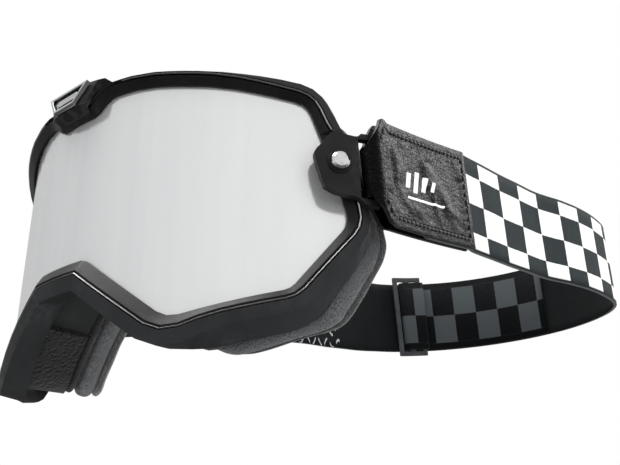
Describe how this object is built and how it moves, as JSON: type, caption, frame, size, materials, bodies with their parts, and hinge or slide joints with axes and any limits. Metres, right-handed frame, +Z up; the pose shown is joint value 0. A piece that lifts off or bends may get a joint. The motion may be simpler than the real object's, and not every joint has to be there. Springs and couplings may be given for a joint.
{
  "type": "motorcycle goggles",
  "caption": "Retro motorcycle goggles: curved mirrored lens in a soft frame with a layered foam face, riveted outriggers, leather strap ends and an elastic adjustable strap.",
  "frame": {"origin": "Middle of the bounding box in plan, with the lowest point of the frame on z = 0.", "axes": "The wearer looks along -Y, the wearer's left is +X and +Z is up. The strap is level, and the frame leans back over it by 8.4 degrees."},
  "size_m": [0.1934, 0.3128, 0.1024],
  "materials": {
    "shell_rubber": "matt flexible polyurethane with a fine grain",
    "bezel_black": "satin black",
    "mirror_lens": "silver mirror coating on a clear polycarbonate sheet",
    "stripe_silver": "silver pinstripe bead",
    "pod_black": "satin black",
    "bright_chrome": "polished",
    "inlay_black": "gloss black",
    "outrigger_black": "satin black moulding",
    "base_foam": "dense dark open-cell foam",
    "core_foam": "mid-grey open-cell foam",
    "fleece": "brushed black fleece",
    "vent_foam": "black reticulated filter foam",
    "leather_black": "pebbled black leather",
    "strap_weave": "woven elastic in white and dark slate squares",
    "tail_weave": "woven elastic in white and dark slate squares, reverse side",
    "slider_grey": "satin dark grey moulding"
  },
  "bodies": {
    "frame": {"frame_shell": "shell_rubber", "lens_bezel": "bezel_black", "lens": "mirror_lens", "trim_upper_left": "stripe_silver", "trim_upper_right": "stripe_silver", "trim_lower": "stripe_silver", "badge_pod": "pod_black", "badge_rim": "bright_chrome", "badge_inlay": "inlay_black", "badge_mark": "bright_chrome", "vent_foam_top": "vent_foam", "vent_foam_left": "vent_foam", "vent_foam_right": "vent_foam", "foam_base": "base_foam", "foam_core": "core_foam", "foam_fleece": "fleece", "outrigger_left": "outrigger_black", "outrigger_right": "outrigger_black", "rivet_washer_left": "outrigger_black", "rivet_washer_right": "outrigger_black", "rivet_left": "bright_chrome", "rivet_right": "bright_chrome"},
    "strap_ends": {"leather_end_left": "leather_black", "leather_end_right": "leather_black"},
    "strap": {"strap_band": "strap_weave"},
    "adjuster": {"strap_slider": "slider_grey", "strap_tail": "tail_weave"}
  },
  "joints": [
    {"name": "strap_tilt", "type": "hinge", "parent": "frame", "child": "strap_ends", "pos_m": [0, -0.09827, 0.05201], "axis": [1, 0, 0], "range_deg": [-4, 4]},
    {"name": "strap_stretch", "type": "slide", "parent": "strap_ends", "child": "strap", "axis": [0, 1, 0], "range_m": [0, 0.015], "stiffness_N_per_m": 200, "deforming": ["strap_band"]},
    {"name": "adjuster_travel", "type": "hinge", "parent": "strap", "child": "adjuster", "pos_m": [0, 0.08423, 0.05961], "axis": [0, 0, 1], "range_deg": [-12, 10]}
  ]
}
